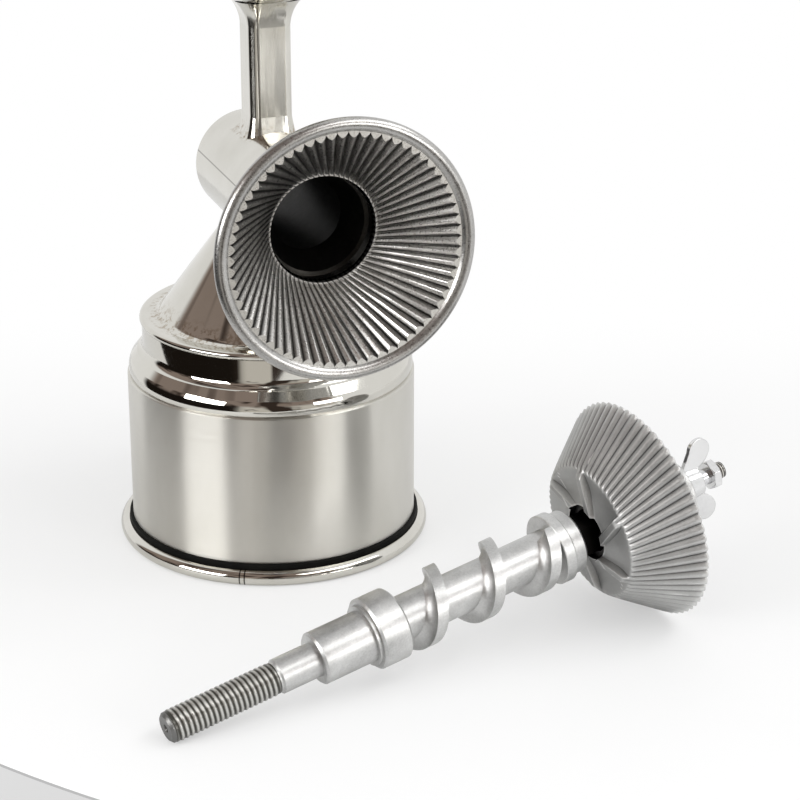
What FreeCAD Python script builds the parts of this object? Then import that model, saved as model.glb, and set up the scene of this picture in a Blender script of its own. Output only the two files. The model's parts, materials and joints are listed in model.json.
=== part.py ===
"""Hand crank grain mill with a suction base, laid out as for cleaning.

The mill stands on its base. Its feed screw, with the inner burr on the end, lies drawn out in
front of it, and the crank lies behind it. Millimetres, +Z up, origin on the table at the centre
of the base. The barrel points along -Y.
"""
import FreeCAD, Part

import math
import os

from FreeCAD import Placement, Rotation, Vector

# Fits
RUN = 0.05                # radial clearance of a running fit
SEAT = 0.02               # radial clearance of a seated fit

# Base drum
DRUM_R = 55.0
DRUM_BOTTOM = 7.8
DRUM_TOP = 66.0           # crease under the shoulder bead
SHEET = 1.2               # pressed steel sheet
BEAD_R = 54.4             # shoulder bead
BEAD_Z = 69.8
COVE_R = 51.0             # cove above the bead
COVE_Z = 75.6
NECK_R = 48.9             # drum's neck
PLATE_Z = 89.0            # top of the lid
RIM_R = 1.35              # rolled rim of the lid
SKIRT = 8.0               # lid's skirt inside the neck

# Foot ring and suction pad
RING_R = DRUM_R + 1.9
RING_WIRE = 3.0
PAD_THICK = 4.6
PAD_R = DRUM_R - 2.5      # where the pad touches the table
FLANGE_R = DRUM_R + 1.3

# Suction works
CARRIER_Z = 17.0          # underside of the carrier plate
CARRIER_THICK = 2.0
CARRIER_LIP = 6.0         # lip that hangs from the plate's edge
ROD_R = 3.0
GUIDE_R = 6.0
GUIDE_COLLAR = 8.5
GUIDE_TOP = 22.0
FOOT_R = 30.0             # pad plate
FOOT_THICK = 1.5
SHAFT_Z = 38.0
SHAFT_R = 4.0
CAM_LOW = 6.0
CAM_LIFT = 4.0            # lift over a quarter turn of the lever
CAM_WIDE = 6.0
YOKE_HALF = 12.5          # inside half width of the yoke
YOKE_WALL = 3.0
YOKE_THICK = 7.0
YOKE_GAP = 0.05
EAR_Y = (-11.0, 8.0)      # near faces of the bracket's ears
EAR_THICK = 3.0
EAR_HALF = 8.0
BRACKET_FLOOR = 2.0
BRACKET_MARGIN = 5.5      # from the screws to the bracket's edge
SCREW_R = 1.5
SCREW_HEAD_R = 2.8
SCREW_X = 13.5
SCREW_OUT = 7.0           # from the middle of an ear to its screws
SCREW_LENGTH = 6.0
SCREW_HEAD = 1.8
SPRING_R = 11.5           # middle of the coil
SPRING_WIRE = 0.8
SPRING_TURNS = 4.0

# Lever outside the drum
BUSH_R = 7.0
BUSH_FLANGE_R = 9.5
BUSH_FLANGE = 2.0
LEVER_HUB_R = 9.0
LEVER_HUB = 8.0
LEVER_LENGTH = 47.0
LEVER_WIDE = 9.0
LEVER_THICK = 4.0
GRIP_LENGTH = 26.0
GRIP_WALL = 2.0
CAP_NUT_FLAT = 10.0

# Barrel, pedestal and neck
BARREL_Z = 140.8
BARREL_R = 20.3
BARREL_WALL = 1.5
BARREL_REAR = 26.9
BARREL_CAP = 2.5          # turned-in rear end
BUSH_SHORT = 2.0          # how much the rear bush is shorter than the auger's journal
BUSH_WALL = 6.0           # wall of the rear bush where it passes the barrel's end
CONE_FOOT_R = 43.0
CONE_APEX = BARREL_Z + 6.8 - PLATE_Z    # height of the cone's apex over the lid
CONE_WELD = 1.4           # fillet at the cone's foot
NECK_HALF = 8.1           # half width of the square hopper neck
NECK_CORNER = 3.5
NECK_WALL = 1.2
NECK_Y = -1.0
NECK_TOP = BARREL_Z + 59.2    # where the neck starts to spread
NECK_HEAD = 10.0          # height of the spread head
NECK_SPREAD = 4.6
BOWL_R = 58.0
BOWL_TOP = NECK_TOP + 62.0

# Outer burr
BURR_FACE = 93.5          # rim face in front of the mill's axis
BURR_R = 47.1
BURR_RIM = 2.3            # radius of the rolled rim
MOUTH_DEPTH = 1.6         # machined ends of the ribs, behind the rim's face
MOUTH_R = 42.2            # at the roots of the ribs
MOUTH_CREST_R = 40.0
THROAT_R = 20.7
THROAT_CREST_R = 19.8
THROAT_DEPTH = 27.0
SOCKET = 11.0             # length of the burr's neck over the barrel
SOCKET_WALL = 3.0
STEP_DEPTH = 2.2
STEP_R = 19.5

# Ribs of both burrs
RIBS = 66
RIB_SHARE = 0.95          # share of the pitch that a groove takes
RIB_LEAN = 10.2           # how far the line of a rib passes the axis
OUTER_CREST = 4.2         # where one crest stands at the mouth, degrees from +X towards +Z
INNER_CREST = -2.3        # where one crest stands at the inner burr's rim, degrees from the uppermost

# Auger, measured from the tip of its tail
TAIL_R = 5.4
THREAD_END = 42.0
SHANK_R = 6.2
TAIL_NECK = 57.0
JOURNAL_R = 9.4
JOURNAL_END = 78.0
COLLAR_R = 12.9
COLLAR_END = 89.2
GROOVE_R = 11.0
CORE_R = 8.0
FLIGHT_R = 12.85
FLIGHT_PITCH = 23.6
FLIGHT_CREST = 4.4
FLIGHT_FILLET = 4.4       # hollow flank on the tail's side
FLIGHT_HEEL = 1.6         # steeper flank on the burr's side
FLIGHT_SUNK = 3.0         # how far inside the collar the flight starts
FLIGHT_ROOT = 0.6         # how far the flight reaches into the core
FLIGHT_TOP = 107.1        # where the crest stands uppermost
FLIGHT_END = 152.9        # where the last flight stops climbing and runs on into the end ring
FLIGHT_RUN_OUT = 130.0    # degrees
END_RING = 153.3
END_RING_WIDE = 4.3
END_GROOVE = 0.6
END_R = 11.6
AUGER_END = 163.3
BURR_PROUD = 2.0          # how far the inner burr's rim stands out of the outer burr's face, assembled
TANG_HALF = 5.5
TANG_LENGTH = 14.5

# Inner burr
CONE_R = 41.0
CONE_RIM = 193.1          # rim plane, from the tip of the tail
SMALL_R = 19.4
SMALL_END = 163.6
CONE_WALL = 4.6
RIM_VALLEY = 1.25         # depth of the grooves at the rim
RIB_END_R = 25.2          # where the ribs run out into the pockets
RIB_END_VALLEY = 0.85
RECESS_R = 18.3           # round the auger's end
RECESS_DEPTH = 7.5
BLADES = 6
BLADE_TURN = -61.0        # one blade's place, degrees from the uppermost
BLADE_WIDE = 2.3
BLADE_LEAN = 38.0         # from the radius, degrees
POCKET_FLAT = 19.8        # apothem of the six-sided wall inside the pockets
POCKET_DEPTH = 3.0
POCKET_ROUND = 2.4        # width of the rounding under the ribs' ends
HUB_R = 12.0
HUB_END = 211.5
TANG_HOLE_EXTRA = 8.0

# Stud and its nuts, M6
STUD_R = 3.0
STUD_SEAT = 12.0          # how deep the stud sits in the auger
STUD_END = 231.5
WING_BOSS_R = 6.2
WING_BOSS = 8.5
WING_REACH = 16.5
WING_THICK = 1.6
STOP_NUT_AT = 224.6
STOP_NUT_FLAT = 10.0
STOP_NUT_THICK = 3.2

# Resting place of the drawn-out auger set
TIP_X = -85.8
TIP_Y = -155.3
AUGER_TURN = 11.16        # degrees from +X, seen from above

# Crank
CRANK_HUB_X = 60.0
CRANK_HUB_Y = 196.0
CRANK_TURN = -110.0       # direction from the hub to the knob, degrees from +X
CRANK_LENGTH = 108.0
CRANK_HUB_R = 10.0
CRANK_HUB = 20.0
CRANK_WIDE = 16.0
CRANK_THICK = 5.0
KNOB_R = 12.5
KNOB_LENGTH = 50.0
SPINDLE_R = 3.5
SPINDLE_HEAD_R = 6.0
SPINDLE_HEAD = 2.0
SPINDLE_COLLAR = 1.4      # height of the collar under the knob
KNOB_PLAY = 0.1           # end play of the knob

UP = Vector(0, 0, 1)
ORIGIN = Vector(0, 0, 0)
FORWARD = Vector(0, -1, 0)
THROUGH = 4 * DRUM_R      # length of a tool that passes through any piece
ALONG_Y = Rotation(Vector(1, 0, 0), -90)


def rod(radius, length, base=ORIGIN, axis=UP):
    """A cylinder."""
    return Part.makeCylinder(radius, length, base, axis)


def bore(radius, x, y):
    """A tool for an upright hole."""
    return rod(radius, THROUGH, Vector(x, y, -THROUGH / 2))


def cross_bore(radius, z):
    """A tool for a hole along the barrel's direction, over the mill's axis."""
    return rod(radius, THROUGH, Vector(0, THROUGH / 2, z), FORWARD)


def block(x0, x1, y0, y1, z0, z1):
    """A box between two corners."""
    return Part.makeBox(x1 - x0, y1 - y0, z1 - z0, Vector(x0, y0, z0))


def turned(points, closed=True):
    """Revolve an outline of (radius, height) points about Z. Three points in a tuple are an arc."""
    edges = []
    last = None
    first = None
    for item in points:
        if len(item) == 3:
            through, end = item[0], item[1]
            mid = Vector(through[0], 0, through[1])
            tip = Vector(end[0], 0, end[1])
            edges.append(Part.Arc(last, mid, tip).toShape())
            last = tip
            continue
        here = Vector(item[0], 0, item[1])
        if last is None:
            first = here
        elif (here - last).Length > 1e-6:
            edges.append(Part.LineSegment(last, here).toShape())
        last = here
    if closed and (last - first).Length > 1e-6:
        edges.append(Part.LineSegment(last, first).toShape())
    face = Part.Face(Part.Wire(edges))
    return face.revolve(ORIGIN, UP, 360)


def arc(mid, end):
    """Mark an arc through mid to end in an outline for turned()."""
    return (mid, end, "arc")


def rounded_square(half, corner, z):
    """A closed wire of a square with rounded corners, centred on the neck's axis."""
    flat = half - corner
    diagonal = corner * math.sqrt(0.5)
    edges = []
    for quarter in range(4):
        turn = Rotation(UP, 90 * quarter)
        a = turn.multVec(Vector(half, -flat, 0))
        b = turn.multVec(Vector(half, flat, 0))
        c = turn.multVec(Vector(flat + diagonal, flat + diagonal, 0))
        d = turn.multVec(Vector(flat, half, 0))
        lift = Vector(0, NECK_Y, z)
        edges.append(Part.LineSegment(a + lift, b + lift).toShape())
        edges.append(Part.Arc(b + lift, c + lift, d + lift).toShape())
    return Part.Wire(edges)


def hexagon(flats, height, base_z):
    """A hexagonal prism across the given flats, on Z."""
    corner = flats / math.sqrt(3)
    points = [Rotation(UP, 60 * k).multVec(Vector(corner, 0, 0)) + Vector(0, 0, base_z) for k in range(7)]
    return Part.Face(Part.makePolygon(points)).extrude(Vector(0, 0, height))


def bar(start, end, wide, thick, z):
    """A flat bar with round ends between two points in a plane parallel to the table."""
    along = (end - start).normalize()
    side = Vector(-along.y, along.x, 0) * (wide / 2)
    lift = Vector(0, 0, z)
    a, b, c, d = start + side + lift, start - side + lift, end - side + lift, end + side + lift
    edges = [Part.Arc(a, start - along * (wide / 2) + lift, b).toShape(),
             Part.LineSegment(b, c).toShape(),
             Part.Arc(c, end + along * (wide / 2) + lift, d).toShape(),
             Part.LineSegment(d, a).toShape()]
    return Part.Face(Part.Wire(edges)).extrude(Vector(0, 0, thick))


def placed(shape, placement):
    """A moved copy of a shape."""
    return shape.copy().transformed(placement.toMatrix())


def forward(shape):
    """Lay a shape built about Z along the barrel, so that its Z points forward from the mill's axis."""
    return placed(shape, Placement(Vector(0, 0, BARREL_Z), Rotation(Vector(1, 0, 0), 90)))


# Base

def base_shell():
    neck_top = PLATE_Z - 2 * RIM_R
    outer = [(DRUM_R, DRUM_BOTTOM), (DRUM_R, DRUM_TOP - 0.6),
             arc((DRUM_R - 0.5, DRUM_TOP - 0.1), (DRUM_R - 1.0, DRUM_TOP)),
             arc((BEAD_R, BEAD_Z - 1.2), (BEAD_R - 1.0, BEAD_Z + 2.2)),
             (COVE_R, COVE_Z - 0.6),
             arc((NECK_R + 0.45, COVE_Z + 1.0), (NECK_R, COVE_Z + 3.0)),
             (NECK_R, neck_top)]
    inner = [(NECK_R - SHEET, neck_top), (NECK_R - SHEET, COVE_Z + 2.4),
             (COVE_R - SHEET, COVE_Z - 1.4), (BEAD_R - SHEET - 1.2, BEAD_Z + 1.4),
             (DRUM_R - SHEET - 1.4, DRUM_TOP), (DRUM_R - SHEET, DRUM_TOP - 2.0),
             (DRUM_R - SHEET, DRUM_BOTTOM)]
    shell = turned(outer + inner)
    hole = rod(BUSH_R + SEAT, 20, Vector(0, DRUM_R - 10, SHAFT_Z), Vector(0, 1, 0))
    return shell.cut(hole)


def top_plate():
    z = PLATE_Z
    skirt_r = NECK_R - SHEET - SEAT
    top = z - SHEET
    rim = NECK_R + 0.8 - RIM_R
    outline = [(0, z), (rim, z), arc((rim + RIM_R, z - RIM_R), (rim, z - 2 * RIM_R)),
               (skirt_r, z - 2 * RIM_R), (skirt_r, z - SKIRT), (skirt_r - SHEET, z - SKIRT),
               (skirt_r - SHEET, top), (0, top)]
    return turned(outline)


def base_ring():
    return Part.makeTorus(RING_R, RING_WIRE, Vector(0, 0, RING_WIRE), UP)


def suction_pad():
    outline = [(0, 0), (PAD_R, 0), (FLANGE_R, DRUM_BOTTOM - 2.2), (FLANGE_R, DRUM_BOTTOM - 0.4),
               arc((FLANGE_R - 0.2, DRUM_BOTTOM - 0.1), (FLANGE_R - 0.6, DRUM_BOTTOM)),
               (DRUM_R - SHEET - 3.0, DRUM_BOTTOM), (DRUM_R - SHEET - 6.0, PAD_THICK), (0, PAD_THICK)]
    pad = turned(outline)
    groove = Part.makeTorus(RING_R, RING_WIRE + SEAT, Vector(0, 0, RING_WIRE), UP)
    return pad.cut(groove)


def carrier_plate():
    wall_r = DRUM_R - SHEET - SEAT
    top = CARRIER_Z + CARRIER_THICK
    lip = CARRIER_Z - CARRIER_LIP
    outline = [(GUIDE_R + SEAT, CARRIER_Z), (wall_r - CARRIER_THICK, CARRIER_Z),
               (wall_r - CARRIER_THICK, lip), (wall_r, lip), (wall_r, top), (GUIDE_R + SEAT, top)]
    plate = turned(outline)
    for x, y in screw_places():
        plate = plate.cut(bore(SCREW_R + SEAT, x, y))
    return plate


def guide_bush():
    top = CARRIER_Z + CARRIER_THICK
    outline = [(ROD_R + RUN, CARRIER_Z - 2.0), (GUIDE_R + 3, CARRIER_Z - 2.0), (GUIDE_R + 3, CARRIER_Z),
               (GUIDE_R, CARRIER_Z), (GUIDE_R, top + 2.0), (GUIDE_R - 1, GUIDE_TOP), (ROD_R + RUN, GUIDE_TOP)]
    return turned(outline)


def screw_places():
    ys = (EAR_Y[0] + EAR_THICK / 2 - SCREW_OUT, EAR_Y[1] + EAR_THICK / 2 + SCREW_OUT)
    return [(x, y) for x in (-SCREW_X, SCREW_X) for y in ys]


def shaft_bracket():
    """Two ears on a flat floor, which is open round the guide bush."""
    low = CARRIER_Z + CARRIER_THICK
    places = screw_places()
    bracket = block(places[0][0] - BRACKET_MARGIN, places[-1][0] + BRACKET_MARGIN,
                    places[0][1] - BRACKET_MARGIN, places[-1][1] + BRACKET_MARGIN, low, low + BRACKET_FLOOR)
    for y in EAR_Y:
        ear = block(-EAR_HALF, EAR_HALF, y, y + EAR_THICK, low, SHAFT_Z)
        head = rod(EAR_HALF, EAR_THICK, Vector(0, y, SHAFT_Z), Vector(0, 1, 0))
        bracket = bracket.fuse([ear, head])
    collar = rod(GUIDE_COLLAR, 2 * BRACKET_FLOOR, Vector(0, 0, low - BRACKET_FLOOR))
    bracket = bracket.cut([collar, cross_bore(SHAFT_R + RUN, SHAFT_Z)])
    return bracket.cut([bore(SCREW_R + SEAT, x, y) for x, y in places]).removeSplitter()


def bracket_screws():
    seat = CARRIER_Z + CARRIER_THICK + BRACKET_FLOOR
    screws = []
    for x, y in screw_places():
        head = rod(SCREW_HEAD_R, SCREW_HEAD, Vector(x, y, seat))
        shank = rod(SCREW_R, SCREW_LENGTH, Vector(x, y, seat - SCREW_LENGTH))
        screws.append(head.fuse(shank).removeSplitter())
    return Part.makeCompound(screws)


def yoke_roof():
    return SHAFT_Z + CAM_LOW + YOKE_GAP


def yoke_floor():
    return SHAFT_Z - CAM_LOW - CAM_LIFT - 0.5


def pull_rod():
    roof, floor = yoke_roof(), yoke_floor()
    half = YOKE_HALF + YOKE_WALL
    frame = block(-half, half, -YOKE_THICK / 2, YOKE_THICK / 2, floor - YOKE_WALL, roof + YOKE_WALL)
    frame = frame.cut(block(-YOKE_HALF, YOKE_HALF, -YOKE_THICK, YOKE_THICK, floor, roof))
    corners = [edge for edge in frame.Edges
               if edge.Length > YOKE_THICK - 0.01 and edge.Length < YOKE_THICK + 0.01
               and abs(abs(edge.Vertexes[0].X) - half) < 0.01]
    frame = frame.makeFillet(2.5, corners)
    stem = rod(ROD_R, floor - 1 - PAD_THICK, Vector(0, 0, PAD_THICK))
    return frame.fuse(stem).removeSplitter()


def pad_plate():
    z = PAD_THICK
    outline = [(ROD_R + SEAT, z), (FOOT_R, z), (FOOT_R, z + FOOT_THICK), (ROD_R + 4, z + FOOT_THICK),
               (ROD_R + 2.5, z + FOOT_THICK + 1.6), (ROD_R + SEAT, z + FOOT_THICK + 1.6)]
    return turned(outline)


def return_spring():
    """Coil of round wire, its path made of short arcs that climb evenly."""
    low = PAD_THICK + FOOT_THICK + SPRING_WIRE + RUN
    high = CARRIER_Z - SPRING_WIRE - RUN

    def station(turns):
        rise = (high - low) * turns / SPRING_TURNS
        return Rotation(UP, 360 * turns).multVec(Vector(SPRING_R, 0, 0)) + Vector(0, 0, low + rise)

    step = 1 / 6
    starts = [step * k for k in range(round(SPRING_TURNS / step))]
    path = [Part.Arc(station(t), station(t + step / 2), station(t + step)).toShape() for t in starts]
    climb = Vector(0, 2 * math.pi * SPRING_R, (high - low) / SPRING_TURNS)
    section = Part.Wire(Part.makeCircle(SPRING_WIRE, station(0), climb))
    return Part.Wire(path).makePipeShell([section], True, False)


def cam():
    """A cam whose flat follower rises evenly with the turn: an involute between two round parts."""
    rise = CAM_LIFT / (math.pi / 2)
    points = []
    for step in range(13):
        turn = math.pi / 2 * step / 12
        support = CAM_LOW + rise * turn
        points.append(Vector(support * math.sin(turn) + rise * math.cos(turn), 0,
                             support * math.cos(turn) - rise * math.sin(turn)))
    curve = Part.BSplineCurve()
    curve.interpolate(points)
    start, end = points[0], points[-1]
    high = CAM_LOW + CAM_LIFT
    belly = Vector(high * math.cos(0.5) - 1.0, 0, -high * math.sin(0.5))
    tail = Part.Arc(end, belly, Vector(0, 0, -CAM_LOW))
    back = Part.Arc(Vector(0, 0, -CAM_LOW), Vector(-CAM_LOW, 0, 0), Vector(0, 0, CAM_LOW))
    top = Part.LineSegment(Vector(0, 0, CAM_LOW), start)
    wire = Part.Wire([curve.toShape(), tail.toShape(), back.toShape(), top.toShape()])
    body = Part.Face(wire).extrude(Vector(0, CAM_WIDE, 0))
    body.translate(Vector(0, -CAM_WIDE / 2, SHAFT_Z))
    return body.cut(cross_bore(SHAFT_R + SEAT, SHAFT_Z))


def lever_start():
    return DRUM_R + BUSH_FLANGE + 0.3


def lever_shaft():
    inner_end = EAR_Y[0] - 2
    outer_end = lever_start() + LEVER_HUB + 5.0
    shaft = rod(SHAFT_R, outer_end - inner_end, Vector(0, inner_end, SHAFT_Z), Vector(0, 1, 0))
    return shaft.makeChamfer(0.5, [e for e in shaft.Edges if len(e.Vertexes) == 1])


def shaft_bush():
    outline = [(SHAFT_R + RUN, DRUM_R - 6), (BUSH_R, DRUM_R - 6), (BUSH_R, DRUM_R),
               (BUSH_FLANGE_R, DRUM_R), (BUSH_FLANGE_R, DRUM_R + BUSH_FLANGE - 0.5),
               (BUSH_FLANGE_R - 0.5, DRUM_R + BUSH_FLANGE), (SHAFT_R + RUN, DRUM_R + BUSH_FLANGE)]
    return placed(turned(outline), Placement(Vector(0, 0, SHAFT_Z), ALONG_Y))


def on_lever_shaft(shape):
    """Lay a shape built about Z along the lever's shaft, outwards from the hub's inner face."""
    return placed(shape, Placement(Vector(0, lever_start(), SHAFT_Z), ALONG_Y))


def lever():
    hub = rod(LEVER_HUB_R, LEVER_HUB)
    arm = bar(ORIGIN, Vector(LEVER_LENGTH, 0, 0), LEVER_WIDE, LEVER_THICK, (LEVER_HUB - LEVER_THICK) / 2)
    body = hub.fuse(arm).removeSplitter()
    body = body.cut(rod(SHAFT_R + SEAT, LEVER_HUB + 2, Vector(0, 0, -1)))
    return on_lever_shaft(body)


def lever_grip():
    middle = LEVER_HUB / 2
    start = LEVER_LENGTH - GRIP_LENGTH + LEVER_WIDE / 2 + 2
    end = LEVER_LENGTH + LEVER_WIDE / 2 - 1
    wide = LEVER_WIDE + 2 * GRIP_WALL
    thick = LEVER_THICK + 2 * GRIP_WALL
    grip = bar(Vector(start, 0, 0), Vector(end - 2, 0, 0), wide, thick, middle - thick / 2)
    outer = [e for e in grip.Edges if abs(e.BoundBox.ZLength) < 0.01]
    grip = grip.makeFillet(1.6, outer)
    arm = bar(ORIGIN, Vector(LEVER_LENGTH, 0, 0), LEVER_WIDE + 2 * SEAT, LEVER_THICK + 2 * SEAT,
              middle - LEVER_THICK / 2 - SEAT)
    return on_lever_shaft(grip.cut(arm))


def lever_nut():
    body = hexagon(CAP_NUT_FLAT, 4.0, LEVER_HUB)
    dome = turned([(0, LEVER_HUB + 4.0), (CAP_NUT_FLAT / 2 - 0.4, LEVER_HUB + 4.0),
                   arc((3.6, LEVER_HUB + 6.7), (0, LEVER_HUB + 8.0))])
    nut = body.fuse(dome).removeSplitter()
    return on_lever_shaft(nut.cut(rod(SHAFT_R + SEAT, 5.1, Vector(0, 0, LEVER_HUB - 0.1))))


# Pedestal, barrel, neck and hopper

def cone_radius(z):
    """Outer radius of the pedestal's cone at a height."""
    return CONE_FOOT_R * (PLATE_Z + CONE_APEX - z) / CONE_APEX


def pedestal():
    top = BARREL_Z - 6
    drop = SHEET * math.hypot(1, CONE_FOOT_R / CONE_APEX)
    weld = PLATE_Z + CONE_WELD
    outline = [(CONE_FOOT_R + CONE_WELD, PLATE_Z),
               arc((CONE_FOOT_R + 0.15 * CONE_WELD, PLATE_Z + 0.25 * CONE_WELD), (cone_radius(weld), weld)),
               (cone_radius(top), top), (cone_radius(top) - drop, top),
               (cone_radius(PLATE_Z) - drop, PLATE_Z)]
    shell = turned(outline).cut(cross_bore(BARREL_R + SEAT, BARREL_Z))
    return max(shell.Solids, key=lambda solid: solid.Volume)


def neck_opening(z0, z1):
    """The square passage through the neck, from z0 up to z1."""
    inside = rounded_square(NECK_HALF - NECK_WALL, NECK_CORNER - NECK_WALL, z0)
    return Part.Face(inside).extrude(Vector(0, 0, z1 - z0))


def barrel():
    """Feed barrel, from its rear end forward to the shoulder in the burr."""
    front = BURR_FACE - THROAT_DEPTH - STEP_DEPTH
    inner = BARREL_R - BARREL_WALL
    rear = -BARREL_REAR
    cap = rear + BARREL_CAP
    hole = JOURNAL_R + BUSH_WALL
    outline = [(BARREL_R - 1.2, rear), arc((BARREL_R - 0.35, rear + 0.35), (BARREL_R, rear + 1.2)),
               (BARREL_R, front), (inner, front), (inner, cap), (hole, cap), (hole, rear)]
    tube = forward(turned(outline))
    return tube.cut(neck_opening(BARREL_Z, BARREL_Z + BARREL_R))


def bush_front():
    """Where the auger's collar bears, forward of the mill's axis."""
    return BURR_FACE + BURR_PROUD - (CONE_RIM - JOURNAL_END) - RUN


def rear_bush():
    front = bush_front()
    rear = -BARREL_REAR
    inner = BARREL_R - BARREL_WALL - SEAT
    bore = JOURNAL_R + RUN
    out = front - (JOURNAL_END - TAIL_NECK) + BUSH_SHORT
    outside = JOURNAL_R + BUSH_WALL - SEAT
    outline = [(bore, out), (outside - 2, out), (outside, rear), (outside, rear + BARREL_CAP),
               (inner, rear + BARREL_CAP), (inner, front), (bore, front)]
    return forward(turned(outline))


def feed_sleeve():
    """Sleeve round the flights, open on top under the hopper's neck."""
    bore = FLIGHT_R + 0.3
    inner = BARREL_R - BARREL_WALL - SEAT
    rear = bush_front()
    front = BURR_FACE - THROAT_DEPTH - STEP_DEPTH - 6
    flare = 12.0
    outline = [(inner, rear), (inner, front), (inner - 0.8, front), (bore, front - flare), (bore, rear)]
    sleeve = forward(turned(outline))
    return sleeve.cut(neck_opening(BARREL_Z, BARREL_Z + BARREL_R))


def square_loft(stations, inset=0.0):
    """A loft through squares given by (growth over the neck, height), set in by a wall."""
    wires = [rounded_square(NECK_HALF + grow - inset, NECK_CORNER + grow - inset, z) for grow, z in stations]
    return Part.makeLoft(wires, True)


def hopper_neck():
    """Square tube with rounded corners, spread out at its foot and at its head."""
    foot = BARREL_Z + BARREL_R
    tube = square_loft([(0.0, BARREL_Z + BARREL_R / 2), (0.0, NECK_TOP)])
    skirt = square_loft([(2.6, foot - 5.5), (0.7, foot + 1.2), (0.0, foot + 5.5)])
    spread = [(0.0, NECK_TOP), (1.2, NECK_TOP + NECK_HEAD / 2), (NECK_SPREAD, NECK_TOP + NECK_HEAD)]
    tube = tube.fuse([skirt, square_loft(spread)])
    tube = tube.cut(neck_opening(BARREL_Z, NECK_TOP)).cut(square_loft(spread, NECK_WALL))
    tube = tube.cut(cross_bore(BARREL_R + SEAT, BARREL_Z))
    return max(tube.Solids, key=lambda solid: solid.Volume)


def hopper_bowl():
    """Spun bowl, its round foot closed on the neck's head."""
    z = NECK_TOP + NECK_HEAD
    hole = NECK_HALF + 1.6
    side = BOWL_R - 2.5
    belly = ((hole + side) / 2 + 7, (z + BOWL_TOP) / 2 - 9)
    outline = [(hole, z), (hole + 3.6, z), arc(belly, (side, BOWL_TOP - 4)),
               (BOWL_R - 1.5, BOWL_TOP - 1.6), arc((BOWL_R, BOWL_TOP - 0.8), (BOWL_R - 1.5, BOWL_TOP)),
               (side - SHEET + 1, BOWL_TOP), (side - SHEET, BOWL_TOP - 3.4),
               arc((belly[0] - 0.7, belly[1] + 1), (hole + 3, z + SHEET)), (hole, z + SHEET)]
    bowl = turned(outline)
    bowl.translate(Vector(0, NECK_Y, 0))
    return bowl


# Burrs

def rib_lean(radius, mouth):
    """How far a rib's straight line has turned between the mouth and a radius."""
    return math.asin(RIB_LEAN / radius) - math.asin(RIB_LEAN / mouth)


def groove_section(crest, root, z, turn):
    """Outline of the space between two ribs: sharp root, rounded flanks, open on the crests' side."""
    half = RIB_SHARE * math.pi / RIBS
    depth = root - crest

    def at(share, side):
        radius = crest + depth * share
        angle = turn + half * side
        return Vector(radius * math.cos(angle), radius * math.sin(angle), z)

    edges = [Part.LineSegment(at(-2.0, -1), at(0, -1)).toShape(),
             Part.Arc(at(0, -1), at(0.3, -0.5), at(1, 0)).toShape(),
             Part.Arc(at(1, 0), at(0.3, 0.5), at(0, 1)).toShape(),
             Part.LineSegment(at(0, 1), at(-2.0, 1)).toShape(),
             Part.LineSegment(at(-2.0, 1), at(-2.0, -1)).toShape()]
    return Part.Wire(edges)


def ribbed(shape, mouth, end, turn, hand):
    """Cut the grooves between the ribs. Mouth and end are (crest radius, root radius, height)."""
    wires = []
    for share in (0.0, 0.5, 1.0):
        crest, root, z = [a + (b - a) * share for a, b in zip(mouth, end)]
        wires.append(groove_section(crest, root, z, turn + hand * rib_lean(crest, mouth[0])))
    tool = Part.makeLoft(wires, True, True)
    return shape.cut([tool.rotated(ORIGIN, UP, 360 * k / RIBS) for k in range(RIBS)])


def outer_burr():
    """Cast burr with a rolled rim and a ribbed conical mouth, socketed over the barrel."""
    face = BURR_FACE
    mouth = face - MOUTH_DEPTH
    throat = face - THROAT_DEPTH
    shoulder = throat - STEP_DEPTH
    neck_r = BARREL_R + SOCKET_WALL
    socket_end = shoulder - SOCKET
    outer_low = BURR_R - BURR_RIM - 2.6
    back = face - 2 * BURR_RIM
    outline = [(BARREL_R + SEAT, socket_end), (neck_r - 0.6, socket_end), (neck_r, socket_end + 0.6),
               (neck_r, throat - 1.5), (outer_low, back - 0.4),
               arc((outer_low + 0.9, back), (BURR_R - BURR_RIM, back)),
               arc((BURR_R, face - BURR_RIM), (BURR_R - BURR_RIM, face)),
               arc((BURR_R - 1.7 * BURR_RIM, face - 0.5), (MOUTH_R, mouth)),
               (MOUTH_CREST_R, mouth), (THROAT_CREST_R, throat), (STEP_R, throat), (STEP_R, shoulder),
               (BARREL_R - BARREL_WALL, shoulder), (BARREL_R + SEAT, shoulder)]
    turn = math.radians(OUTER_CREST + 180 / RIBS)
    wide = (MOUTH_CREST_R, MOUTH_R, mouth)
    narrow = (THROAT_CREST_R, THROAT_R, throat)
    return forward(ribbed(turned(outline), wide, narrow, turn, -1))


def auger_frame():
    """Where the auger set lies: on its tail and on the inner burr's rim."""
    tilt = math.degrees(math.atan2(CONE_R - TAIL_R, CONE_RIM))
    height = TAIL_R * math.cos(math.radians(tilt))
    turn = Rotation(UP, AUGER_TURN).multiply(Rotation(Vector(0, 1, 0), 90 - tilt))
    return Placement(Vector(TIP_X, TIP_Y, height), turn)


def flank(root, foot, crest):
    """A hollow flank of the flight's section, from its foot on the core to the crest's edge."""
    rise = FLIGHT_R - root
    hollow = 1 - math.sqrt(0.5)
    mid = Vector(root + rise * hollow, 0, crest + (foot - crest) * hollow)
    return Part.Arc(Vector(root, 0, foot), mid, Vector(FLIGHT_R, 0, crest)).toShape()


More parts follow.
